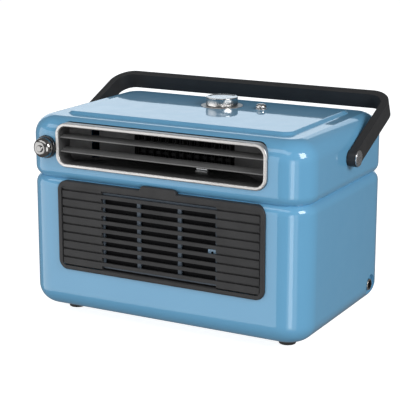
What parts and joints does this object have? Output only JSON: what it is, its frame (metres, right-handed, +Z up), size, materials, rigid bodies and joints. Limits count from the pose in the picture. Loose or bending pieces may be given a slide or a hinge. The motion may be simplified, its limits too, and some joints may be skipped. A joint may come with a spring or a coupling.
{
  "type": "ceramic space heater",
  "caption": "Retro portable fan heater with a rounded two-part case, louvred hot-air outlet over an intake grille, top dial and button, side knob and folding bail handle.",
  "frame": {"origin": "floor level under the middle of the overall width and depth, front knob and rear screws included", "axes": "+X to the heater's right as drawn from the front with the front facing -Y, +Y towards the back, +Z up"},
  "size_m": [0.3628, 0.2426, 0.2476],
  "materials": {
    "blue_gloss": "gloss",
    "black_plastic": "matte",
    "zinc_steel": "satin",
    "black_rubber": "matte",
    "satin_chrome": "satin",
    "grey_plastic": "satin",
    "bare_aluminium": "satin",
    "brass": "satin",
    "filter_net": "matte",
    "filter_blue": "satin",
    "dial_chrome": "polished",
    "gloss_black": "gloss",
    "handle_black": "satin",
    "brushed_cap": "satin",
    "contact_nickel": "satin",
    "cream_plastic": "matte",
    "board_green": "satin",
    "component_mix": "satin",
    "lead_brown": "satin"
  },
  "bodies": {
    "case": {"lower_housing": "blue_gloss", "upper_housing": "blue_gloss", "rear_cover": "black_plastic", "rear_cover_screws": "zinc_steel", "feet": "black_rubber", "foot_screws": "zinc_steel", "case_screws": "zinc_steel", "outlet_bezel": "satin_chrome", "outlet_duct": "grey_plastic", "link_guide": "grey_plastic", "outlet_guard": "black_plastic", "air_sensor": "bare_aluminium", "element_frame": "black_plastic", "ptc_element": "bare_aluminium", "element_terminals": "brass", "blower_scroll": "black_plastic", "end_bearing": "brass", "motor": "zinc_steel", "motor_mount": "zinc_steel", "scroll_brackets": "zinc_steel", "thermal_cutout": "bare_aluminium", "dial_flange": "satin_chrome", "selector_switch": "black_plastic", "button_collar": "satin_chrome", "button_switch": "black_plastic", "knob_bezel": "gloss_black", "thermostat": "black_plastic", "pivot_washers": "black_plastic", "pivot_pins": "zinc_steel", "pivot_caps": "brushed_cap", "pivot_nuts": "zinc_steel", "power_inlet": "gloss_black", "inlet_collar": "contact_nickel", "inlet_contacts": "contact_nickel", "terminal_block": "cream_plastic", "board_standoffs": "brass", "control_board": "board_green", "board_components": "component_mix", "tilt_switch": "black_plastic", "supply_leads": "lead_brown"},
    "handle": {"handle": "handle_black"},
    "dial": {"dial": "dial_chrome", "selector_shaft": "zinc_steel"},
    "power_button": {"push_button": "dial_chrome"},
    "thermostat_knob": {"front_knob": "dial_chrome", "thermostat_shaft": "zinc_steel"},
    "upper_blade": {"upper_blade": "grey_plastic"},
    "lower_blade": {"lower_blade": "grey_plastic"},
    "blade_link": {"blade_link": "grey_plastic"},
    "rotor": {"impeller": "black_plastic", "motor_shaft": "zinc_steel"},
    "grille": {"intake_grille": "grey_plastic", "filter_frame": "filter_blue", "filter_mesh": "filter_net", "filter_clip": "filter_blue"}
  },
  "joints": [
    {"name": "handle_swing", "type": "hinge", "parent": "case", "child": "handle", "pos_m": [0, 0.00555, 0.1918], "axis": [1, 0, 0], "range_deg": [0, 133]},
    {"name": "dial_turn", "type": "hinge", "parent": "case", "child": "dial", "pos_m": [0, 0.03855, 0.235], "axis": [0, 0, 1], "range_deg": [-270, 0]},
    {"name": "button_press", "type": "slide", "parent": "case", "child": "power_button", "axis": [0, 0, -1], "range_m": [0, 0.001], "stiffness_N_per_m": 300, "springref_m": -0.001},
    {"name": "thermostat_turn", "type": "hinge", "parent": "case", "child": "thermostat_knob", "pos_m": [-0.1406, -0.11245, 0.1934], "axis": [0, -1, 0], "range_deg": [-270, 0]},
    {"name": "upper_blade_tilt", "type": "hinge", "parent": "case", "child": "upper_blade", "pos_m": [0, -0.09865, 0.20665], "axis": [1, 0, 0], "range_deg": [-32, 18]},
    {"name": "lower_blade_tilt", "type": "hinge", "parent": "case", "child": "lower_blade", "pos_m": [0, -0.09865, 0.19115], "axis": [1, 0, 0], "range_deg": [-32, 18]},
    {"name": "blade_link_slide", "type": "slide", "parent": "case", "child": "blade_link", "axis": [0, 0, 1], "range_m": [-0.0045, 0.0025]},
    {"name": "rotor_spin", "type": "hinge", "parent": "case", "child": "rotor", "pos_m": [0, 0.00755, 0.163], "axis": [1, 0, 0], "continuous": true},
    {"name": "grille_open", "type": "hinge", "parent": "case", "child": "grille", "pos_m": [0, -0.10625, 0.0573], "axis": [1, 0, 0], "range_deg": [0, 45]}
  ],
  "couplings": [
    {"joint": "lower_blade_tilt", "follows": "upper_blade_tilt", "ratio": 1},
    {"joint": "blade_link_slide", "follows": "upper_blade_tilt", "m_per_rad": 0.007825}
  ]
}
